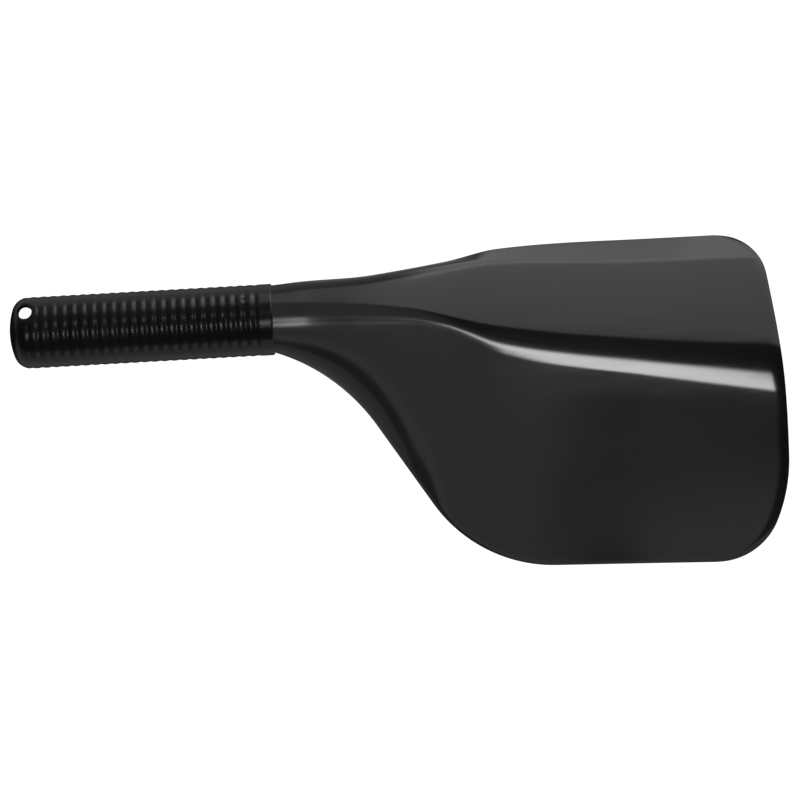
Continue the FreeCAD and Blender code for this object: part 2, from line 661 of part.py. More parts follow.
fill_sheet()
pieces = [make_blade(), make_core(), make_screw("front"), make_screw("rear"), make_grip()]
doc.recompute()
check_document()
export_pieces(pieces)
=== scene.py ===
import math

import bpy
import numpy as np
from mathutils import Matrix, Vector


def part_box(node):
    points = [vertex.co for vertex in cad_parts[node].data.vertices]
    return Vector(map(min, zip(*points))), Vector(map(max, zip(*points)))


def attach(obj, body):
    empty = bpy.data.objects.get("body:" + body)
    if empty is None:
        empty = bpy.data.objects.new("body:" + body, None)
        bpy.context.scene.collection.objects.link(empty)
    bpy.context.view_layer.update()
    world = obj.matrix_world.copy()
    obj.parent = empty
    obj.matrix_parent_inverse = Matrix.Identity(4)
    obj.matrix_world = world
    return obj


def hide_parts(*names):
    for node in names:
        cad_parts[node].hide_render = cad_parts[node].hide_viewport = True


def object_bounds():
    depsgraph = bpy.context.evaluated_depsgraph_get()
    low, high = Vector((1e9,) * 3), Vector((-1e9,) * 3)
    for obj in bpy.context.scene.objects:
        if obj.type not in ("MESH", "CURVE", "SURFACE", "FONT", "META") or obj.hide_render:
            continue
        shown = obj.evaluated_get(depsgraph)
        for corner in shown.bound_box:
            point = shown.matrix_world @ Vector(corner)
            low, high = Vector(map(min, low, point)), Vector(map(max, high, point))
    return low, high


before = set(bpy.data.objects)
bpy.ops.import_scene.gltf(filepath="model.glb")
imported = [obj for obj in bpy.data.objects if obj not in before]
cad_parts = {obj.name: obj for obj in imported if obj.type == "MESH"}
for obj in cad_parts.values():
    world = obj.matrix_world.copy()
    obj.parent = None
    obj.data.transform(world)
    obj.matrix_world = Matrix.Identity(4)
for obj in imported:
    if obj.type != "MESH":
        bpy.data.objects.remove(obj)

# One-hand scoop paddle. Shapes are worked out in millimetres in mouth coordinates: X = 0 at the
# grip's mouth, +X towards the tip, +Y to the narrow side, +Z to the convex side, as in the CAD.
cad_low, cad_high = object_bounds()
MM = 0.001
MOUTH_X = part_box("grip")[1].x / MM

# ---- Sizes -------------------------------------------------------------------------------

SHEET = 3.175
EDGE_ROUND, RIM_TURNS = 0.7, 6
EDGE_STOP = 0.2  # the skins end this far inside the CAD's sharp edge
ROWS_ALONG_TANG, ROWS_ALONG_BLADE = 40, 261
SHARP_FROM = math.radians(40.0)
TANG_RADIUS = 15.875
TANG_LENGTH = 112.3
RIDGE_FALL = math.radians(16.0)
PANEL_TILT = math.radians(29.5)
PANEL_END_TILT = math.radians(33.5)
ROLL_AT_TIP, ROLL_WIDTH_AT_TIP = 0.7, 6.0
ROLL_AT_SIDE, ROLL_WIDTH_AT_SIDE = 0.4, 4.0

# Blade sections: x, ridge_y, ridge_z, ridge_radius, bend_y, bend_radius, lip_tilt, lip_run,
# flank_tilt. A section runs from the narrow edge over lip, bend, panel, ridge and flank.
SECTIONS = np.array([
    (0.0,     0.0,  16.3,  16.3,  9.5,  15.8, 90.0,  0.5, 90.0),
    (15.0,   -0.35, 16.35, 16.0, 10.6,  15.8, 90.0,  0.5, 80.0),
    (40.0,   -1.5,  17.6,  14.4, 11.5,  15.0, 90.0,  0.5, 56.0),
    (65.0,   -3.6,  19.1,  11.5, 14.5,  14.0, 90.0,  0.5, 31.2),
    (82.0,   -7.5,  20.1,  10.8, 16.9,  13.5, 82.0,  2.4, 23.3),
    (110.0, -18.9,  21.2,  19.6, 19.8,  13.0, 53.0,  9.2, 22.4),
    (180.0, -31.5,  23.1,  24.8, 17.2,  13.0, 47.0, 14.9, 27.4),
    (250.0, -42.3,  26.6,  33.5, 16.4,  13.0, 39.0, 15.4, 31.5),
])

# Wide edge in plan: concave flare, straight run, convex heel, long straight.
SIDE_START_Y, SIDE_START_SLOPE = -16.45, math.radians(20.5)
FLARE_RADIUS, SIDE_SLOPE = 96.0, math.radians(57.4)
HEEL_RADIUS, HEEL_X = 72.0, 133.3
LONG_EDGE_FALL = math.radians(2.06)

# Tip in plan: two corners and two arcs that meet at the furthest point.
NARROW_EDGE_Y, TRIM_MARGIN = 29.6, 0.15
TIP_X, TIP_Y = 245.4, -80.0
NARROW_CORNER, TIP_RADIUS, WIDE_TIP_RADIUS, WIDE_CORNER = 22.5, 780.0, 82.0, 31.0
CORNER_PASSES, TIP_PASSES = 20, 30

# Grip, along the shank from its mouth.
GRIP_RADIUS, GRIP_BORE, GRIP_LENGTH, BORE_DEPTH = 17.35, 15.925, 128.0, 112.5
PLAIN_WALL = 0.6  # only what lies further out than this in the wall is ribbed or sunk
CROWN_RADIUS, CROWN_CORNER, LIP_ROUND = 36.0, 8.4, 0.9
RIB_PITCH, FIRST_GROOVE, GROOVES = 4.77, 8.22, 24
GROOVE_DEPTH, GROOVE_POWER = 0.29, 1.35
LAST_GROOVE_SHARE, FADE_START, FADE_END = 0.15, 2.0, -4.0
HOLE_PLACE = np.array([-120.1, 9.6, 0.0])
HOLE_RADIUS, HOLE_LEAN_X, HOLE_LEAN_Y = 3.5, math.radians(2.1), math.radians(2.4)
HOLE_CUTTER_REACH = 30.0
RINGS_ALONG_GRIP, POINTS_AROUND_GRIP = 590, 120

# Marks on the grip. Both edges run outwards, by distance from the hole's axis: one ends the sunk
# rim of the hole, the other brings the ribs back outside a plain land.
SINK_DEPTH, SINK_EDGE, LAND_EDGE = 0.5, (3.1, 4.8), (5.7, 6.8)
FILL_PLACE, FILL_WIDTH, FILL_SHARE = (-22.0, 3.0), (1.8, 1.6), 0.8
RING_PLACE, RING_RADIUS, RING_WIRE, RING_SUNK = (-13.6, 9.5), 1.75, 0.24, 0.1

# Studio light, in metres and radiance. Spans run from low to high, along X and then along Y.
# Names from here to the camera that end in _X, _Y or _Z hold the ends of a soft step of light.
FAINT = 0.12
CEILING_REACH, CEILING_HEIGHT = 3.0, 1.0
CEILING_GLOW, CEILING_SIDE_GLOW, CEILING_FAR_GLOW = 0.45, 0.35, 0.55
GRIP_END_X, TIP_FADE_X = (0.11, -0.02), (0.30, 0.09)
NARROW_SIDE_Y, WIDE_SIDE_Y = (-0.05, 0.12), (-0.5, -1.7)
KEY_POWER, KEY_SPANS, KEY_DROP = 13.5, ((-0.04, 0.52), (-0.58, 0.13)), 0.005
KEY_EDGES = (("X", (-0.01, 0.03)), ("X", (0.24, 0.17)), ("Y", (-0.56, -0.50)), ("Y", (0.12, -0.06)))

# Lamps over the grip: span along X, span along Y, radiance.
LAMP_DROP = 0.01
COLLAR_LAMP = ((-0.035, 0.0), (-0.42, -0.29), 6.0)
RIB_LAMP = ((-0.14, -0.02), (-0.26, -0.08), 7.0)
GROOVE_LAMP = ((0.12, 0.20), (0.36, 0.48), 9.0)

# Upright cards on both sides, the floor, and what the camera sees behind the paddle.
NARROW_CARD_PLACE, WIDE_CARD_PLACE, CARD_HEIGHT = 0.80, -1.4, 0.52
ALONG_CARD_X, BESIDE_NECK_X, BESIDE_BLADE_X = (0.6, -0.2), (0.0, 0.07), (0.02, 0.14)
BESIDE_GRIP_X, LOW_DOWN_Z = (-0.08, -0.02), (0.42, 0.02)
WIDE_BESIDE_GRIP_X, WIDE_UPWARDS_Z = (-0.2, -0.06), (0.5, 0.0)
FLOOR_REACH, FLOOR_DROP, FLOOR_GREY = 4.0, 0.0005, 0.08
FLOOR_GLOW, FLOOR_REFLECTOR = 0.30, 1.5
REFLECTOR_X, REFLECTOR_Y = (0.04, 0.11), (0.04, 0.06)
# Ends of the painted shadow in the floor's glow: beside the shank, and towards the blade.
FROM_GRIP_X, FROM_SHANK_Y = (-0.01, 0.03), (0.015, 0.05)
WHITE, NEARLY_DARK = 1.1, 0.05

# Camera: place and width of the frame in metres, and the sensor in millimetres.
CAMERA_PLACE, CAMERA_TURN = (0.06312, -0.04246, 2.5), math.radians(-3.19)
FRAME_WIDTH, SENSOR_WIDTH = 0.3882, 36.0

# Screw holes in the tang.
SCREWS_BEHIND_MOUTH = (30.0, 90.0)
SCREW_HEAD_TOP, SCREW_HEAD_RADIUS, SCREW_HEAD_DEPTH, SCREW_HOLE = 15.3, 4.02, 2.0, 2.1


# ---- Mesh helpers ------------------------------------------------------------------------

def mesh_object(name, points, faces):
    """Object in metres from points in millimetres, smooth except at corners."""
    mesh = bpy.data.meshes.new(name)
    placed = (np.asarray(points) + (MOUTH_X, 0.0, 0.0)) * MM
    mesh.from_pydata(placed.tolist(), [], faces)
    mesh.validate()
    made = bpy.data.objects.new(name, mesh)
    bpy.context.scene.collection.objects.link(made)
    smooth(mesh)
    return made


def smooth(mesh):
    mesh.polygons.foreach_set("use_smooth", [True] * len(mesh.polygons))
    mesh.set_sharp_from_angle(angle=SHARP_FROM)
    mesh.update()


def cut(target, cutter):
    """Take cutter's volume out of target for good."""
    step = target.modifiers.new("cut", "BOOLEAN")
    step.operation = "DIFFERENCE"
    step.solver = "EXACT"
    step.object = cutter
    bpy.context.view_layer.update()
    evaluated = target.evaluated_get(bpy.context.evaluated_depsgraph_get())
    result = bpy.data.meshes.new_from_object(evaluated)
    old = target.data
    target.modifiers.clear()
    target.data = result
    bpy.data.meshes.remove(old)
    bpy.data.objects.remove(cutter)
    smooth(result)


def grid_faces(index, flip=False):
    """Quads between neighbouring rows and columns of a grid of vertex numbers."""
    a, b, c, d = index[:-1, :-1], index[1:, :-1], index[1:, 1:], index[:-1, 1:]
    order = (a, d, c, b) if flip else (a, b, c, d)
    return np.stack(order, axis=-1).reshape(-1, 4).tolist()


def smoothstep(low, high, value):
    t = np.clip((value - low) / (high - low), 0.0, 1.0)
    return t * t * (3.0 - 2.0 * t)


# ---- Blade -------------------------------------------------------------------------------

def monotone_tangents(knots, values):
    steps = np.diff(knots)
    slopes = np.diff(values) / steps
    tangents = np.concatenate([slopes[:1], np.zeros(len(values) - 2), slopes[-1:]])
    for i in range(1, len(values) - 1):
        if slopes[i - 1] * slopes[i] > 0:
            before = 2 * steps[i] + steps[i - 1]
            after = steps[i] + 2 * steps[i - 1]
            tangents[i] = (before + after) / (before / slopes[i - 1] + after / slopes[i])
    return tangents


def section_value(field, x):
    """Monotone cubic through one column of the sections."""
    knots, values = SECTIONS[:, 0], SECTIONS[:, field]
    tangents, steps = monotone_tangents(knots, values), np.diff(knots)
    i = np.clip(np.searchsorted(knots, x, side="right") - 1, 0, len(knots) - 2)
    t = (x - knots[i]) / steps[i]
    start = (1 + 2 * t) * (1 - t) ** 2 * values[i] + t * (1 - t) ** 2 * steps[i] * tangents[i]
    end = t * t * (3 - 2 * t) * values[i + 1] + t * t * (t - 1) * steps[i] * tangents[i + 1]
    return start + end


def wide_edge_y(x):
    flare_x = -FLARE_RADIUS * math.sin(SIDE_START_SLOPE)
    flare_y = SIDE_START_Y - FLARE_RADIUS * math.cos(SIDE_START_SLOPE)
    run_x = flare_x + FLARE_RADIUS * math.sin(SIDE_SLOPE)
    run_y = flare_y + FLARE_RADIUS * math.cos(SIDE_SLOPE)
    heel_start_x = HEEL_X - HEEL_RADIUS * math.sin(SIDE_SLOPE)
    heel_y = run_y - (heel_start_x - run_x) * math.tan(SIDE_SLOPE)
    heel_y += HEEL_RADIUS * math.cos(SIDE_SLOPE)
    heel_end_x = HEEL_X - HEEL_RADIUS * math.sin(LONG_EDGE_FALL)
    flare = flare_y + np.sqrt(np.maximum(FLARE_RADIUS ** 2 - (x - flare_x) ** 2, 0))
    run = run_y - (x - run_x) * math.tan(SIDE_SLOPE)
    heel = heel_y - np.sqrt(np.maximum(HEEL_RADIUS ** 2 - (x - HEEL_X) ** 2, 0))
    long_edge = heel_y - HEEL_RADIUS * math.cos(LONG_EDGE_FALL)
    long_edge = long_edge - (x - heel_end_x) * math.tan(LONG_EDGE_FALL)
    return np.select([x <= run_x, x <= heel_start_x, x <= heel_end_x], [flare, run, heel], long_edge)


def outward(angle):
    """Direction in a section, tilted from +Z towards +Y, as y and z."""
    return np.stack([np.sin(angle), np.cos(angle)], axis=-1)


def skin(x, place):
    """Outer skin of the sheet and its outward direction, both as x, y, z.

    place counts the five stretches of a section: 0 to 1 is the lip, then bend, panel, ridge and
    flank. Both long edges stop short of the CAD's edge, and the rounded rim goes on past it. The
    last stretch before the wide edge rolls down a little.
    """
    ridge_y, ridge_z, ridge_r, bend_y, bend_r, lip, lip_run, flank = [
        section_value(field, x) for field in range(1, 9)]
    lip, flank = np.radians(lip), np.radians(flank)
    share = [np.clip(place - stretch, 0.0, 1.0) for stretch in range(5)]
    ridge_centre = np.stack([ridge_y, ridge_z - ridge_r], axis=-1)
    panel_start = ridge_centre + outward(PANEL_TILT) * ridge_r[..., None]
    panel_r = (bend_y - panel_start[..., 0]) / (math.sin(PANEL_END_TILT) - math.sin(PANEL_TILT))
    panel_centre = panel_start - outward(PANEL_TILT) * panel_r[..., None]
    panel_end = panel_centre + outward(PANEL_END_TILT) * panel_r[..., None]
    bend_centre = panel_end - outward(PANEL_END_TILT) * bend_r[..., None]
    flank_start = ridge_centre + outward(-RIDGE_FALL) * ridge_r[..., None]
    flank_r = (flank_start[..., 0] - wide_edge_y(x)) / (np.sin(flank) - math.sin(RIDGE_FALL))
    flank_centre = flank_start - outward(-RIDGE_FALL) * flank_r[..., None]

    lip_left = (lip_run - EDGE_STOP) * (1.0 - share[0])
    bend_angle = lip + (PANEL_END_TILT - lip) * share[1]
    panel_angle = PANEL_END_TILT + (PANEL_TILT - PANEL_END_TILT) * share[2]
    ridge_angle = PANEL_TILT + (-RIDGE_FALL - PANEL_TILT) * share[3]
    flank_end = flank - EDGE_STOP / flank_r
    flank_angle = -RIDGE_FALL + (-flank_end + RIDGE_FALL) * share[4]
    on_lip = bend_centre + outward(lip) * bend_r[..., None]
    on_lip = on_lip + outward(lip + math.pi / 2) * lip_left[..., None]
    on_bend = bend_centre + outward(bend_angle) * bend_r[..., None]
    on_panel = panel_centre + outward(panel_angle) * panel_r[..., None]
    on_ridge = ridge_centre + outward(ridge_angle) * ridge_r[..., None]
    on_flank = flank_centre + outward(flank_angle) * flank_r[..., None]
    stretch = [place <= limit for limit in (1, 2, 3, 4)]
    yz = np.select([s[..., None] for s in stretch], [on_lip, on_bend, on_panel, on_ridge], on_flank)
    angle = np.select(stretch, [lip, bend_angle, panel_angle, ridge_angle], flank_angle)
    out = outward(angle)
    from_side = (flank_end - np.abs(angle)) * flank_r
    roll = ROLL_AT_SIDE * np.clip(1 - from_side / ROLL_WIDTH_AT_SIDE, 0, 1) ** 2 * (place > 4)
    points = np.concatenate([x[..., None], yz - out * roll[..., None]], axis=-1)
    return points, np.concatenate([np.zeros_like(x)[..., None], out], axis=-1)


def tip_outline_x(y, inset):
    """Where the tip's outline, pulled in by inset, lies at y.

    The wide corner's centre is found in passes, since it depends on the long edge beside it.
    """
    tip_centre_x, wide_centre_x = TIP_X - TIP_RADIUS, TIP_X - WIDE_TIP_RADIUS
    corner_y = NARROW_EDGE_Y + TRIM_MARGIN - NARROW_CORNER
    reach = TIP_RADIUS - NARROW_CORNER
    corner_x = tip_centre_x + math.sqrt(reach ** 2 - (corner_y - TIP_Y) ** 2)
    corner_from = TIP_Y + (corner_y - TIP_Y) * (TIP_RADIUS - inset) / reach
    reach = WIDE_TIP_RADIUS - WIDE_CORNER
    wide_x = TIP_X - WIDE_CORNER
    for _ in range(CORNER_PASSES):
        wide_y = float(wide_edge_y(np.array(wide_x))) - TRIM_MARGIN
        wide_y += WIDE_CORNER / math.cos(LONG_EDGE_FALL)
        wide_x = wide_centre_x + math.sqrt(reach ** 2 - (wide_y - TIP_Y) ** 2)
    wide_from = TIP_Y + (wide_y - TIP_Y) * (WIDE_TIP_RADIUS - inset) / reach

    def arc(centre_x, centre_y, radius):
        return centre_x + np.sqrt(np.maximum((radius - inset) ** 2 - (y - centre_y) ** 2, 0.0))

    return np.select([y >= corner_from, y >= TIP_Y, y >= wide_from],
                     [arc(corner_x, corner_y, NARROW_CORNER),
                      arc(tip_centre_x, TIP_Y, TIP_RADIUS),
                      arc(wide_centre_x, TIP_Y, WIDE_TIP_RADIUS)],
                     arc(wide_x, wide_y, WIDE_CORNER))


def blade_columns():
    """Places across the sheet, closer together towards both edges."""
    lip = np.linspace(0, 1, 15) ** 2
    bend = 1 + np.linspace(0, 1, 11)[1:]
    panel = 2 + np.linspace(0, 1, 19)[1:]
    ridge = 3 + np.linspace(0, 1, 29)[1:]
    flank = 4 + 1 - (1 - np.linspace(0, 1, 81)[1:]) ** 2
    return np.concatenate([lip, bend, panel, ridge, flank])


def blade_skins():
    """Grids of outer and inner points from the tang's rear end to the tip, which rolls down.

    Where each column ends is found in passes, since its y there depends on where it ends.
    """
    place = blade_columns()
    end_x = np.full(len(place), TIP_X)
    for _ in range(TIP_PASSES):
        end_x = tip_outline_x(skin(end_x, place)[0][:, 1], EDGE_STOP)
    along = np.linspace(0, 1, ROWS_ALONG_BLADE)[:, None]
    x = along * end_x[None, :]
    outer, out = skin(x, np.broadcast_to(place, x.shape))
    roll = ROLL_AT_TIP * np.clip(1 - (end_x[None, :] - x) / ROLL_WIDTH_AT_TIP, 0, 1) ** 2
    outer = outer - out * roll[..., None]
    inner = outer - out * SHEET

    mouth = outer[0]
    angle = np.arctan2(mouth[:, 1], mouth[:, 2])
    angle = np.clip(angle, -math.pi / 2, math.pi / 2)
    tang_x = np.linspace(-TANG_LENGTH, 0, ROWS_ALONG_TANG)
    ring = np.concatenate([np.zeros((len(angle), 1)), outward(angle)], axis=1)
    shift = np.stack([tang_x, 0 * tang_x, 0 * tang_x], axis=1)[:, None, :]
    tang_outer = ring[None] * TANG_RADIUS + shift
    tang_inner = ring[None] * (TANG_RADIUS - SHEET) + shift
    return np.concatenate([tang_outer, outer]), np.concatenate([tang_inner, inner])


def make_blade():
    outer, inner = blade_skins()
    rows, columns = outer.shape[:2]
    count = rows * columns
    outer_index = np.arange(count).reshape(rows, columns)
    inner_index = outer_index + count
    points = [outer.reshape(-1, 3), inner.reshape(-1, 3)]
    faces = grid_faces(outer_index, flip=True) + grid_faces(inner_index)

    # The rim follows the narrow edge forwards, the tip across and the wide edge back.
    def boundary(grid):
        return np.concatenate([grid[:-1, 0], grid[-1, :], grid[-2::-1, -1]])

    top, bottom = boundary(outer), boundary(inner)
    tangent = np.roll(top, -1, axis=0) - np.roll(top, 1, axis=0)
    tangent[0], tangent[-1] = top[1] - top[0], top[-1] - top[-2]
    down = (bottom - top) / SHEET
    side = np.cross(down, tangent)
    side = side / np.linalg.norm(side, axis=1, keepdims=True)
    turns = np.linspace(0, math.pi / 2, RIM_TURNS)
    profile = [(EDGE_ROUND * math.sin(t), EDGE_ROUND * (1 - math.cos(t))) for t in turns[1:]]
    profile += [(EDGE_ROUND * math.cos(t), SHEET - EDGE_ROUND * (1 - math.sin(t)))
                for t in turns[:-1]]
    steps = [boundary(outer_index)]
    for number, (away, depth) in enumerate(profile):
        points.append(top + side * away + down * depth)
        steps.append(2 * count + number * len(top) + np.arange(len(top)))
    steps.append(boundary(inner_index))
    rim = np.stack(steps)
    faces += grid_faces(rim, flip=True)

    # Rear end of the tang.
    rear = np.stack([outer_index[0], inner_index[0]])
    faces += grid_faces(rear)
    faces.append(rim[:, 0].tolist())
    faces.append(rim[::-1, -1].tolist())
    return mesh_object("paddle_blade", np.concatenate(points), faces)


# ---- Lathed forms ------------------------------------------------------------------------

def lathe(name, profile, around, shape=None):
    """Closed form turned about X from (x, radius) points; the first and last lie on the axis."""
    profile = np.asarray(profile)
    angle = np.arange(around) * 2 * math.pi / around
    x = np.broadcast_to(profile[1:-1, :1], (len(profile) - 2, around))
    radius = np.broadcast_to(profile[1:-1, 1:], x.shape)
    if shape is not None:
        radius = shape(x, radius, angle[None, :])
    grid = np.stack([x, radius * np.sin(angle), radius * np.cos(angle)], axis=-1)
    points = np.concatenate([grid.reshape(-1, 3), [(profile[0, 0], 0, 0), (profile[-1, 0], 0, 0)]])
    index = np.arange(grid.shape[0] * around).reshape(-1, around)
    wrapped = np.concatenate([index, index[:, :1]], axis=1)
    faces = grid_faces(wrapped)
    start, end = len(points) - 2, len(points) - 1
    for here, there in zip(wrapped[0, :-1], wrapped[0, 1:]):
        faces.append([start, int(here), int(there)])
    for here, there in zip(wrapped[-1, :-1], wrapped[-1, 1:]):
        faces.append([end, int(there), int(here)])
    return mesh_object(name, points, faces)


def arc_points(centre_x, centre_r, radius, start, end, count):
    """Points of an arc in a lathe profile; angles in degrees, 0 along +X and 90 outward."""
    turns = np.radians(np.linspace(start, end, count))
    return [(centre_x + radius * math.cos(t), centre_r + radius * math.sin(t)) for t in turns]


def stand_up(form, direction, place):
    """Turn a lathed form's axis from +X to direction and move its origin to place."""
    mouth = Vector((MOUTH_X, 0, 0))
    turned = Vector((1, 0, 0)).rotation_difference(direction).to_matrix().to_4x4()
    moved = Matrix.Translation((mouth + Vector(place)) * MM)
    form.data.transform(moved @ turned @ Matrix.Translation(-mouth * MM))


# ---- Grip --------------------------------------------------------------------------------

def hole_direction():
    """Direction of the hanging hole as it rises."""
    return Vector((math.sin(HOLE_LEAN_X), math.sin(HOLE_LEAN_Y), math.cos(HOLE_LEAN_X))).normalized()


def grip_outside(x, radius, angle):
    """Ribs, the land round the hanging hole and its sunk edge, and one filled groove."""
    y, z = radius * np.sin(angle), radius * np.cos(angle)
    first_crest = -FIRST_GROOVE + RIB_PITCH / 2
    last_crest = first_crest - GROOVES * RIB_PITCH
    phase = (first_crest - x) / RIB_PITCH * 2 * math.pi
    groove = (0.5 - 0.5 * np.cos(phase)) ** GROOVE_POWER
    ribbed = smoothstep(first_crest + 0.01, first_crest - 0.01, x)
    share = smoothstep(last_crest + FADE_END, last_crest + FADE_START, x)
    share = LAST_GROOVE_SHARE + (1 - LAST_GROOVE_SHARE) * share
    axis = np.array(hole_direction())
    offset = np.stack([x - HOLE_PLACE[0], y - HOLE_PLACE[1], z], axis=-1)
    along = offset @ axis
    distance = np.linalg.norm(offset - along[..., None] * axis, axis=-1)
    clear = smoothstep(*LAND_EDGE, distance)
    from_fill_x = (x - FILL_PLACE[0]) / FILL_WIDTH[0]
    from_fill_y = (y - FILL_PLACE[1]) / FILL_WIDTH[1]
    open_share = 1 - FILL_SHARE * np.exp(-(from_fill_x ** 2 + from_fill_y ** 2)) * (z > 0)
    depth = GROOVE_DEPTH * groove * ribbed * share * clear * open_share
    sunk = SINK_DEPTH * (1 - smoothstep(*SINK_EDGE, distance))
    outer = radius > GRIP_BORE + PLAIN_WALL
    return radius - np.where(outer, depth + sunk, 0.0)


def make_grip():
    reach = CROWN_RADIUS - CROWN_CORNER
    turn = math.degrees(math.asin((GRIP_RADIUS - CROWN_CORNER) / reach))
    crown_x = CROWN_RADIUS - GRIP_LENGTH
    corner_x = crown_x - reach * math.cos(math.radians(turn))
    profile = [(-BORE_DEPTH, radius) for radius in (0.0, 4.0, 10.0, GRIP_BORE)]
    profile += [(x, GRIP_BORE) for x in np.linspace(-BORE_DEPTH, 0, 20)[1:]]
    profile += arc_points(-LIP_ROUND, GRIP_RADIUS - LIP_ROUND, LIP_ROUND, 0, 90, 9)
    profile += [(x, GRIP_RADIUS) for x in np.linspace(-LIP_ROUND, corner_x, RINGS_ALONG_GRIP)[1:]]
    profile += arc_points(corner_x, GRIP_RADIUS - CROWN_CORNER, CROWN_CORNER, 90, 180 - turn, 36)[1:]
    profile += arc_points(crown_x, 0.0, CROWN_RADIUS, 180 - turn, 180, 30)[1:]
    grip = lathe("ribbed_grip", profile, POINTS_AROUND_GRIP, grip_outside)
    end = HOLE_CUTTER_REACH
    cutter = lathe("hole_cutter", [(-end, 0), (-end, HOLE_RADIUS), (end, HOLE_RADIUS), (end, 0)], 64)
    stand_up(cutter, hole_direction(), HOLE_PLACE)
    cut(grip, cutter)
    return grip


def make_ring_mark():
    """Small raised moulding ring beside the collar."""
    centre_x, centre_y = RING_PLACE
    around, across = 40, 12
    turn = np.arange(around)[:, None] * 2 * math.pi / around
    tilt = np.arange(across)[None, :] * 2 * math.pi / across
    reach = RING_RADIUS + RING_WIRE * np.cos(tilt)
    x = centre_x + reach * np.cos(turn)
    arc = math.asin(centre_y / GRIP_RADIUS) + reach * np.sin(turn) / GRIP_RADIUS
    radius = GRIP_RADIUS - RING_SUNK + RING_WIRE * np.sin(tilt) + 0 * turn
    grid = np.stack([x, radius * np.sin(arc), radius * np.cos(arc)], axis=-1)
    index = np.arange(around * across).reshape(around, across)
    index = np.concatenate([index, index[:1]])
    index = np.concatenate([index, index[:, :1]], axis=1)
    return mesh_object("grip_ring_mark", grid.reshape(-1, 3), grid_faces(index))


def screw_hole_cutter(behind):
    """Clearance hole and countersink, upright at one screw's place."""
    sink = SCREW_HEAD_RADIUS + SCREW_HEAD_DEPTH
    profile = [(0, 0), (0, SCREW_HOLE), (SCREW_HEAD_TOP - SCREW_HEAD_RADIUS + SCREW_HOLE, SCREW_HOLE),
               (SCREW_HEAD_TOP + SCREW_HEAD_DEPTH, sink), (SCREW_HEAD_TOP + SCREW_HEAD_DEPTH, 0)]
    cutter = lathe("screw_hole_cutter", profile, 48)
    stand_up(cutter, Vector((0, 0, 1)), (-behind, 0, 0))
    return cutter


# ---- Materials ---------------------------------------------------------------------------

class Material:
    """Node material: object coordinates in, one Principled shader out."""

    def __init__(self, name, **constants):
        self.material = bpy.data.materials.new(name)
        self.material.use_nodes = True
        self.tree = self.material.node_tree
        self.shader = self.tree.nodes["Principled BSDF"]
        for socket, value in constants.items():
            self.shader.inputs[socket.replace("_", " ")].default_value = value
        self.place = self.add("ShaderNodeTexCoord").outputs["Object"]

    def add(self, kind, inputs=None, **settings):
        made = self.tree.nodes.new(kind)
        for key, value in settings.items():
            setattr(made, key, value)
        for key, value in (inputs or {}).items():
            if isinstance(value, bpy.types.NodeSocket):
                self.tree.links.new(value, made.inputs[key])
            else:
                made.inputs[key].default_value = value
        return made

    def stretched(self, scale, turn=0.0):
        mapping = self.add("ShaderNodeMapping", {"Vector": self.place, "Scale": scale,
                                                 "Rotation": (0, 0, turn)})
        return mapping.outputs["Vector"]

    def noise(self, scale, detail=3.0, roughness=0.5, where=None):
        made = self.add("ShaderNodeTexNoise", {"Vector": where or self.place, "Scale": scale,
                                               "Detail": detail, "Roughness": roughness})
        return made.outputs["Fac"]

    def remap(self, value, low, high, to_low, to_high):
        made = self.add("ShaderNodeMapRange", {"Value": value, "From Min": low, "From Max": high,
                                               "To Min": to_low, "To Max": to_high})
        return made.outputs["Result"]

    def math(self, operation, first, second):
        made = self.add("ShaderNodeMath", {0: first, 1: second}, operation=operation)
        return made.outputs["Value"]

    def mix(self, factor, first, second):
        made = self.add("ShaderNodeMix", {"Factor": factor}, data_type="RGBA")
        for key, value in ((6, first), (7, second)):
            if isinstance(value, bpy.types.NodeSocket):
                self.tree.links.new(value, made.inputs[key])
            else:
                made.inputs[key].default_value = value
        return made.outputs[2]

    def bump(self, height, distance, strength=1.0, under=None):
        inputs = {"Height": height, "Distance": distance, "Strength": strength}
        if under is not None:
            inputs["Normal"] = under
        return self.add("ShaderNodeBump", inputs).outputs["Normal"]

    def connect(self, socket, value):
        self.tree.links.new(value, self.shader.inputs[socket])


def grey(value, blue=1.0):
    return (value, value, value * blue, 1.0)


def blade_material():
    """Black glossy sheet: slight orange peel, forming streaks, hairline scratches, dust."""
    m = Material("blade_gloss_black", IOR=1.52)
    cloud = m.noise(9.0, 4.0, 0.55)
    colour = m.mix(m.remap(cloud, 0.3, 0.7, 0.0, 1.0), grey(0.0030, 1.03), grey(0.0050, 1.03))
    dust = m.add("ShaderNodeTexVoronoi", {"Vector": m.place, "Scale": 260.0}, feature="F1")
    patch = m.remap(m.noise(30.0, 2.0), 0.52, 0.72, 0.0, 1.0)
    speck = m.remap(dust.outputs["Distance"], 0.035, 0.06, 1.0, 0.0)
    speck = m.math("MULTIPLY", speck, patch)
    colour = m.mix(speck, colour, grey(0.07))
    m.connect("Base Color", colour)
    wear = m.noise(1.0, 3.0, 0.6, m.stretched((14.0, 90.0, 30.0), math.radians(13.0)))
    streak = m.noise(1.0, 2.0, 0.6, m.stretched((25.0, 900.0, 300.0), math.radians(14.0)))
    hair = m.remap(streak, 0.66, 0.72, 0.0, 1.0)
    rough = m.remap(wear, 0.3, 0.75, 0.12, 0.18)
    rough = m.math("ADD", rough, m.math("MULTIPLY", hair, 0.08))
    rough = m.math("ADD", rough, m.math("MULTIPLY", speck, 0.2))
    m.connect("Roughness", rough)
    peel = m.noise(240.0, 2.0, 0.5)
    forming = m.noise(1.0, 2.0, 0.5, m.stretched((9.0, 60.0, 20.0), math.radians(13.0)))
    normal = m.bump(forming, 0.0003, 0.25)
    normal = m.bump(peel, 0.00003, 0.25, normal)
    m.connect("Normal", normal)
    return m.material


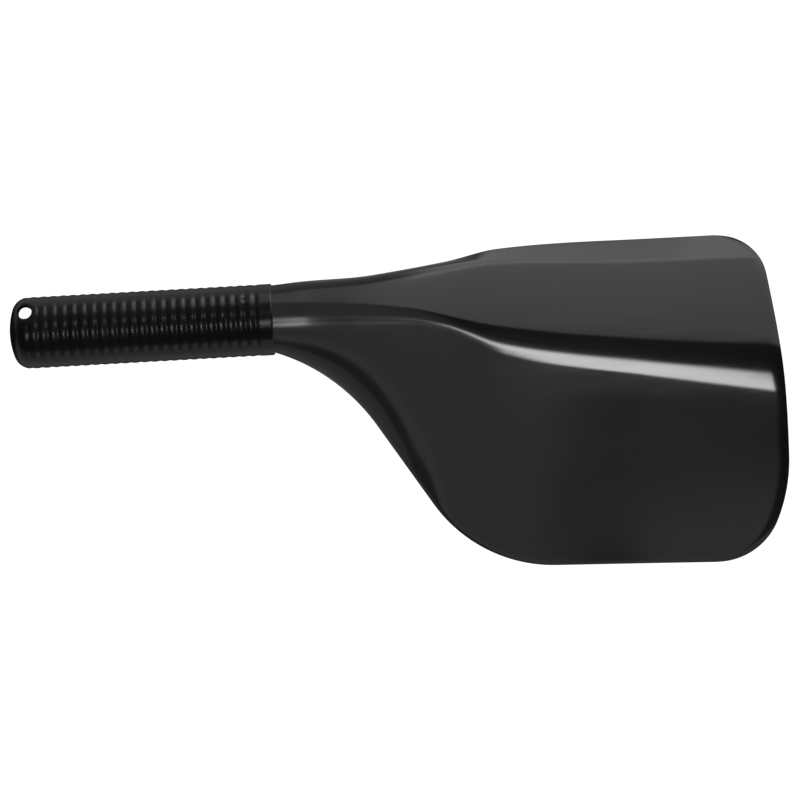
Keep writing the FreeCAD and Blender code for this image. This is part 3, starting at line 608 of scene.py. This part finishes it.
def grip_material():
    """Soft semi-gloss black vinyl with a fine grain."""
    m = Material("grip_soft_vinyl", IOR=1.48)
    cloud = m.noise(35.0, 4.0, 0.6)
    m.connect("Base Color", m.mix(cloud, grey(0.022), grey(0.032)))
    m.connect("Roughness", m.remap(cloud, 0.25, 0.75, 0.2, 0.3))
    grain = m.noise(2200.0, 3.0, 0.6)
    handled = m.noise(180.0, 3.0, 0.5)
    normal = m.bump(handled, 0.00003, 0.3)
    m.connect("Normal", m.bump(grain, 0.00001, 0.35, normal))
    return m.material


def core_material():
    """Moulded matte plastic filler."""
    m = Material("core_matte_plastic", IOR=1.5)
    cloud = m.noise(60.0, 4.0, 0.6)
    m.connect("Base Color", m.mix(cloud, grey(0.016), grey(0.03)))
    m.connect("Roughness", m.remap(cloud, 0.2, 0.8, 0.48, 0.66))
    m.connect("Normal", m.bump(m.noise(1500.0, 3.0, 0.6), 0.00005, 0.5))
    return m.material


def screw_material():
    """Bright plated steel with turning marks."""
    m = Material("screw_plated_steel", Metallic=1.0)
    cloud = m.noise(400.0, 3.0, 0.6)
    m.connect("Base Color", m.mix(cloud, grey(0.55, 1.02), grey(0.68, 1.03)))
    m.connect("Roughness", m.remap(cloud, 0.2, 0.8, 0.18, 0.34))
    turned = m.noise(1.0, 2.0, 0.5, m.stretched((300.0, 300.0, 9000.0)))
    m.connect("Normal", m.bump(turned, 0.00003, 0.4))
    return m.material


def dress(piece, material):
    piece.data.materials.clear()
    piece.data.materials.append(material)


# ---- Pieces ------------------------------------------------------------------------------

blade = make_blade()
for behind in SCREWS_BEHIND_MOUTH:
    cut(blade, screw_hole_cutter(behind))
grip = make_grip()
ring_mark = make_ring_mark()

blade_look, grip_look = blade_material(), grip_material()
dress(blade, blade_look)
dress(grip, grip_look)
dress(ring_mark, grip_look)
dress(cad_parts["handle_core"], core_material())
screw_look = screw_material()
for name in ("tang_screw_front", "tang_screw_rear"):
    dress(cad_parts[name], screw_look)

for piece in (blade, grip, ring_mark):
    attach(piece, "root")
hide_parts("blade")
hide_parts("grip")


# ---- Studio ------------------------------------------------------------------------------

def glow(material, value, ends, from_level=0.0, to_level=1.0):
    """Soft step of light along one coordinate, from a level at one end to a level at the other."""
    made = material.add("ShaderNodeMapRange", {"Value": value,
                                               "From Min": ends[0], "From Max": ends[1],
                                               "To Min": from_level, "To Max": to_level},
                        interpolation_type="SMOOTHSTEP")
    return made.outputs["Result"]


def make_floor():
    """White to the camera.

    To the paddle it is a dim table with a painted shadow: its glow is turned down under the grip
    and shank, where the paddle's shade would fall. A reflector lies beside the blade's narrow edge.
    """
    reach = FLOOR_REACH / MM
    floor = mesh_object("studio_floor", [(-reach, -reach, 0), (reach, -reach, 0),
                                         (reach, reach, 0), (-reach, reach, 0)], [(0, 1, 2, 3)])
    floor.location.z = cad_low.z - FLOOR_DROP
    m = Material("floor_white", Roughness=0.9)
    m.shader.inputs["Base Color"].default_value = grey(FLOOR_GREY)
    m.shader.inputs["Emission Color"].default_value = grey(1.0)
    x, y, _ = m.add("ShaderNodeSeparateXYZ", {0: m.place}).outputs
    reflector = m.math("MULTIPLY", glow(m, y, REFLECTOR_Y), glow(m, x, REFLECTOR_X, 0.1, 1.0))
    reflector = m.math("MULTIPLY", reflector, FLOOR_REFLECTOR)
    # Painted shadow: the floor's glow falls away under the grip and shank, where the paddle would
    # shade it.
    clear_of_painted_shadow = glow(m, m.math("ABSOLUTE", y, 0.0), FROM_SHANK_Y)
    lit = m.math("MAXIMUM", clear_of_painted_shadow, glow(m, x, FROM_GRIP_X))
    level = m.math("MAXIMUM", reflector, m.math("MULTIPLY", lit, FLOOR_GLOW))
    seen = m.add("ShaderNodeLightPath").outputs["Is Camera Ray"]
    light = m.add("ShaderNodeMix", {"Factor": seen, 2: level, 3: WHITE}, data_type="FLOAT")
    m.connect("Emission Strength", light.outputs[0])
    dress(floor, m.material)


def make_card(name, corners, level, lights=None):
    """Glowing card that stays out of the camera's sight.

    level is a radiance, or a function that works it out along the card. lights, where it is
    given, is the collection of the only pieces that the card lights.
    """
    mesh = bpy.data.meshes.new(name)
    mesh.from_pydata(corners, [], [(0, 1, 2, 3)])
    card = bpy.data.objects.new(name, mesh)
    bpy.context.scene.collection.objects.link(card)
    card.visible_camera = False
    m = Material(name + "_light", Roughness=1.0)
    m.shader.inputs["Base Color"].default_value = grey(0.0)
    m.shader.inputs["Emission Color"].default_value = grey(1.0)
    if callable(level):
        axes = m.add("ShaderNodeSeparateXYZ", {0: m.place}).outputs
        m.connect("Emission Strength", level(m, axes))
    else:
        m.shader.inputs["Emission Strength"].default_value = level
    dress(card, m.material)
    if lights is not None:
        card.light_linking.receiver_collection = lights


def overhead(x_span, y_span, height):
    """Corners of a card that lies level above the paddle."""
    (x0, x1), (y0, y1) = x_span, y_span
    return [(x0, y0, height), (x0, y1, height), (x1, y1, height), (x1, y0, height)]


def ceiling_glow(m, axes):
    """Even glow over the grip's end. Over the blade it is left on both sides, fading to the tip."""
    grip_end = glow(m, axes["X"], GRIP_END_X, 0.0, CEILING_GLOW)
    wide_side = glow(m, axes["Y"], WIDE_SIDE_Y, FAINT, CEILING_FAR_GLOW)
    narrow_side = glow(m, axes["Y"], NARROW_SIDE_Y, 0.0, CEILING_SIDE_GLOW)
    fading = glow(m, axes["X"], TIP_FADE_X, FAINT, 1.0)
    sides = m.math("MULTIPLY", m.math("MAXIMUM", wide_side, narrow_side), fading)
    return m.math("MAXIMUM", grip_end, sides)


def key_level(m, axes):
    """Softbox over the blade with soft ends, in front of the ceiling's glow."""
    key = None
    for axis, ends in KEY_EDGES:
        step = glow(m, axes[axis], ends)
        key = step if key is None else m.math("MULTIPLY", key, step)
    return m.math("ADD", m.math("MULTIPLY", key, KEY_POWER), ceiling_glow(m, axes))


def narrow_card_level(m, axes):
    """Brighter low down beside the blade, less beside the neck, and dim beside the grip."""
    along = glow(m, axes["X"], ALONG_CARD_X, 1.0, 1.4)
    along = m.math("MULTIPLY", along, glow(m, axes["X"], BESIDE_NECK_X, 0.68, 1.0))
    low_down = glow(m, axes["Z"], LOW_DOWN_Z)
    beside_blade = glow(m, axes["X"], BESIDE_BLADE_X, -0.15, 0.95)
    level = m.math("ADD", along, m.math("MULTIPLY", low_down, beside_blade))
    return m.math("MULTIPLY", level, glow(m, axes["X"], BESIDE_GRIP_X, FAINT, 1.0))


def wide_card_level(m, axes):
    """A little brighter at the top, and dim beside the grip."""
    level = glow(m, axes["Z"], WIDE_UPWARDS_Z, 0.55, 0.4)
    return m.math("MULTIPLY", level, glow(m, axes["X"], WIDE_BESIDE_GRIP_X, 0.3, 1.0))


def pieces_lit(name, piece):
    """Collection that limits a card's light to one piece."""
    lit = bpy.data.collections.new(name)
    lit.objects.link(piece)
    return lit


def make_cards():
    blade_only, grip_only = pieces_lit("blade_only", blade), pieces_lit("grip_only", grip)
    whole = (-CEILING_REACH, CEILING_REACH)
    make_card("ceiling", overhead(whole, whole, CEILING_HEIGHT), ceiling_glow, blade_only)
    key_corners = overhead(*KEY_SPANS, CEILING_HEIGHT - KEY_DROP)
    make_card("key_softbox", key_corners, key_level, blade_only)
    for name, (x_span, y_span, power), lights in (("collar_lamp", COLLAR_LAMP, None),
                                                  ("rib_lamp", RIB_LAMP, grip_only),
                                                  ("groove_lamp", GROOVE_LAMP, grip_only)):
        make_card(name, overhead(x_span, y_span, CEILING_HEIGHT - LAMP_DROP), power, lights)
    left, right, bottom, top = *whole, cad_low.z, CARD_HEIGHT
    for name, y, level in (("narrow_side_card", NARROW_CARD_PLACE, narrow_card_level),
                           ("wide_side_card", WIDE_CARD_PLACE, wide_card_level)):
        corners = [(left, y, bottom), (right, y, bottom), (right, y, top), (left, y, top)]
        make_card(name, corners, level)


def make_world():
    """White to the camera, nearly dark to the paddle."""
    world = bpy.data.worlds.new("studio")
    bpy.context.scene.world = world
    world.use_nodes = True
    tree = world.node_tree
    shade = tree.nodes["Background"]
    seen = tree.nodes.new("ShaderNodeLightPath").outputs["Is Camera Ray"]
    strength = tree.nodes.new("ShaderNodeMapRange")
    strength.inputs["To Min"].default_value = NEARLY_DARK
    strength.inputs["To Max"].default_value = WHITE
    tree.links.new(seen, strength.inputs["Value"])
    tree.links.new(strength.outputs["Result"], shade.inputs["Strength"])
    shade.inputs["Color"].default_value = grey(1.0)


def make_camera():
    """Straight above the paddle, which lies a little clockwise in the frame."""
    data = bpy.data.cameras.new("camera")
    camera = bpy.data.objects.new("camera", data)
    bpy.context.scene.collection.objects.link(camera)
    data.sensor_width = SENSOR_WIDTH
    data.lens = SENSOR_WIDTH * CAMERA_PLACE[2] / FRAME_WIDTH
    camera.location = CAMERA_PLACE
    camera.rotation_euler = (0, 0, CAMERA_TURN)
    bpy.context.scene.camera = camera


make_floor()
make_cards()
make_world()
make_camera()
bpy.context.scene.view_settings.view_transform = "Standard"
